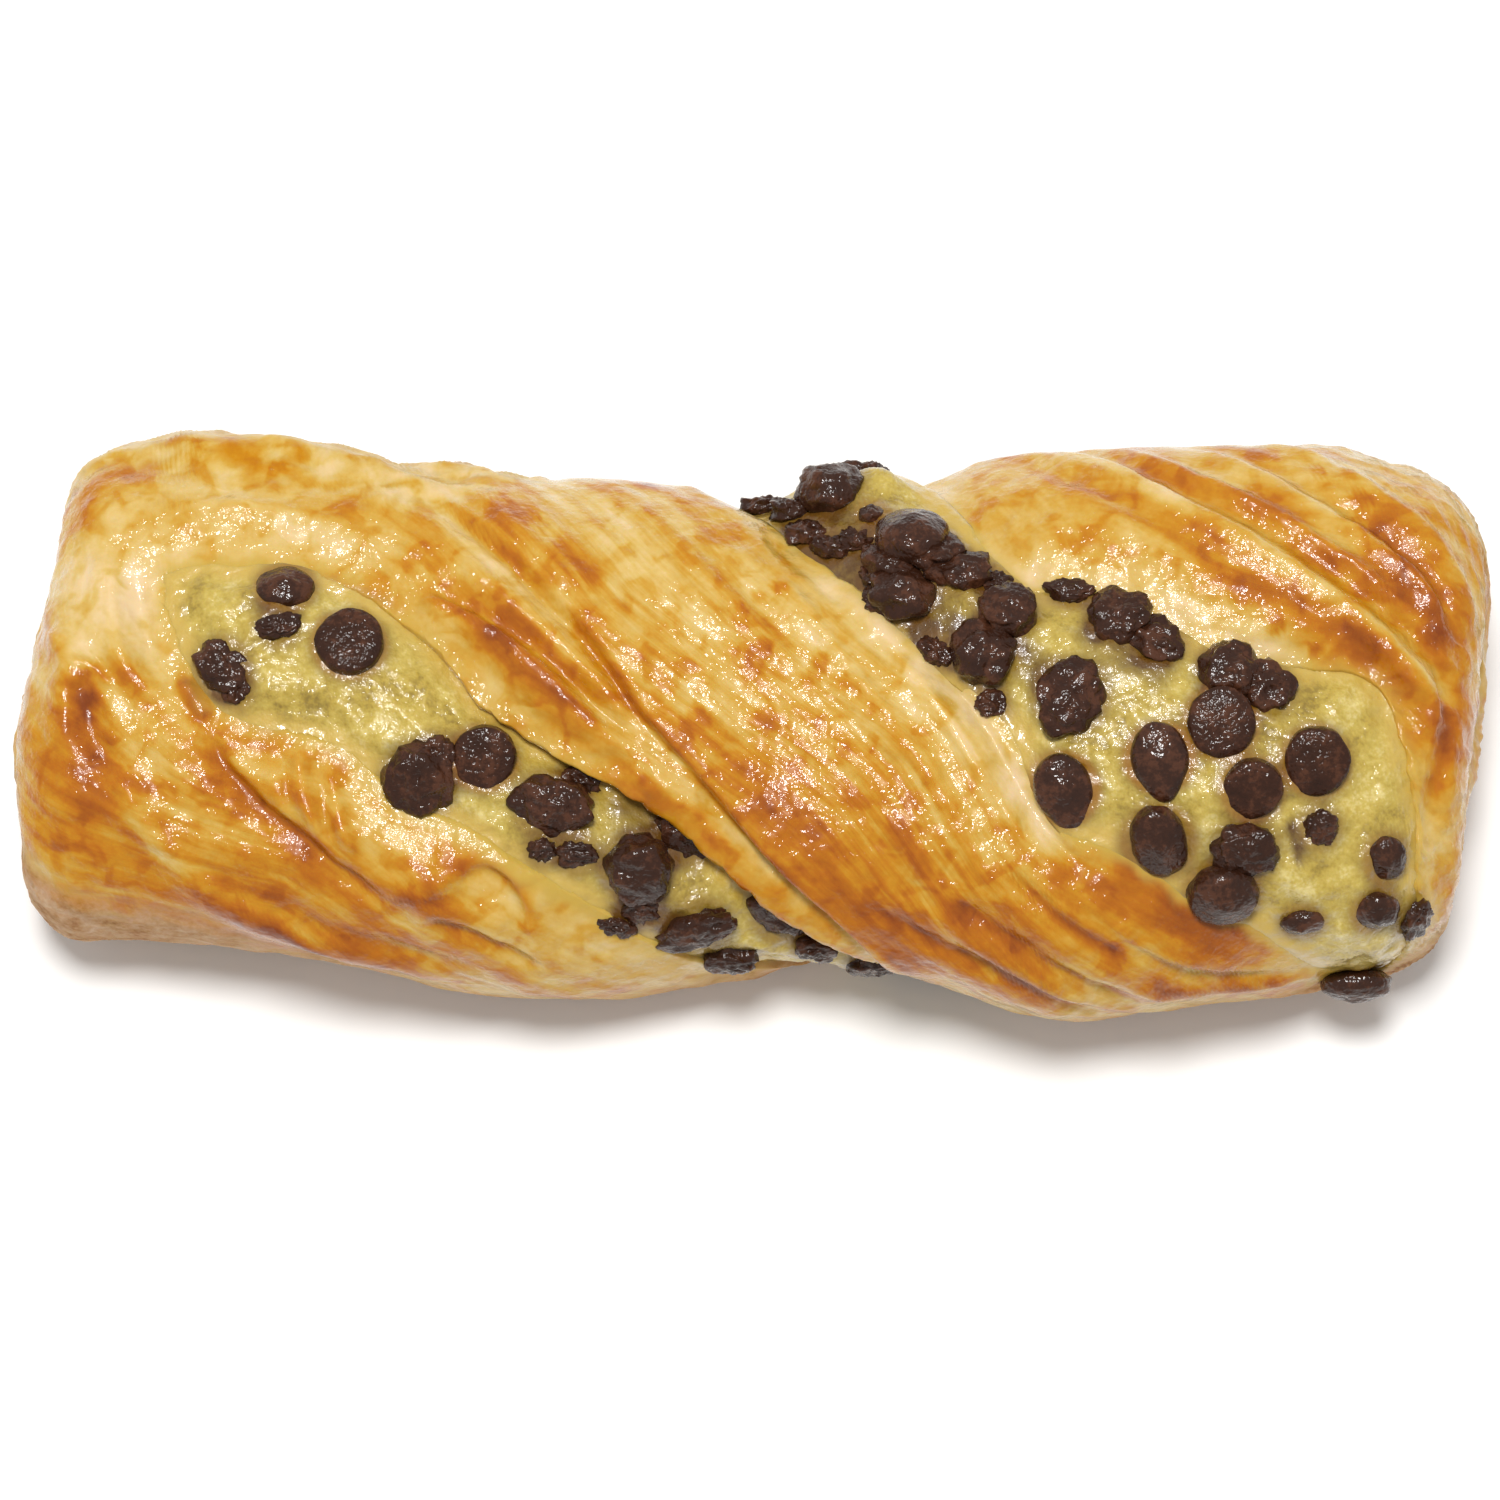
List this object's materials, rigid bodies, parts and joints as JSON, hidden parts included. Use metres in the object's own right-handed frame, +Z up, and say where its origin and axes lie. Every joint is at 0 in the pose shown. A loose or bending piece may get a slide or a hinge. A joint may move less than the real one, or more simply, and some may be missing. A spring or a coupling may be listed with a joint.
{
  "type": "chocolate twist pastry",
  "caption": "Baked, glazed dough twist wrapped round a custard filling with chocolate chips that shows in helical openings; lies flat on its underside.",
  "frame": {"origin": "on the supporting surface, under the middle of the loaf's bounding box", "axes": "+X along the loaf, from the end with the small window to the end with the large window; +Z up"},
  "size_m": [0.1452, 0.0594, 0.0337],
  "materials": {
    "dough": "golden brown baked dough under a clear sugar glaze",
    "custard": "baked custard with a thin moist skin",
    "chocolate": "baked dark chocolate chips, half matte and half glossy"
  },
  "bodies": {
    "root": {"pastry_dough": "dough", "custard_filling": "custard"}
  },
  "joints": []
}
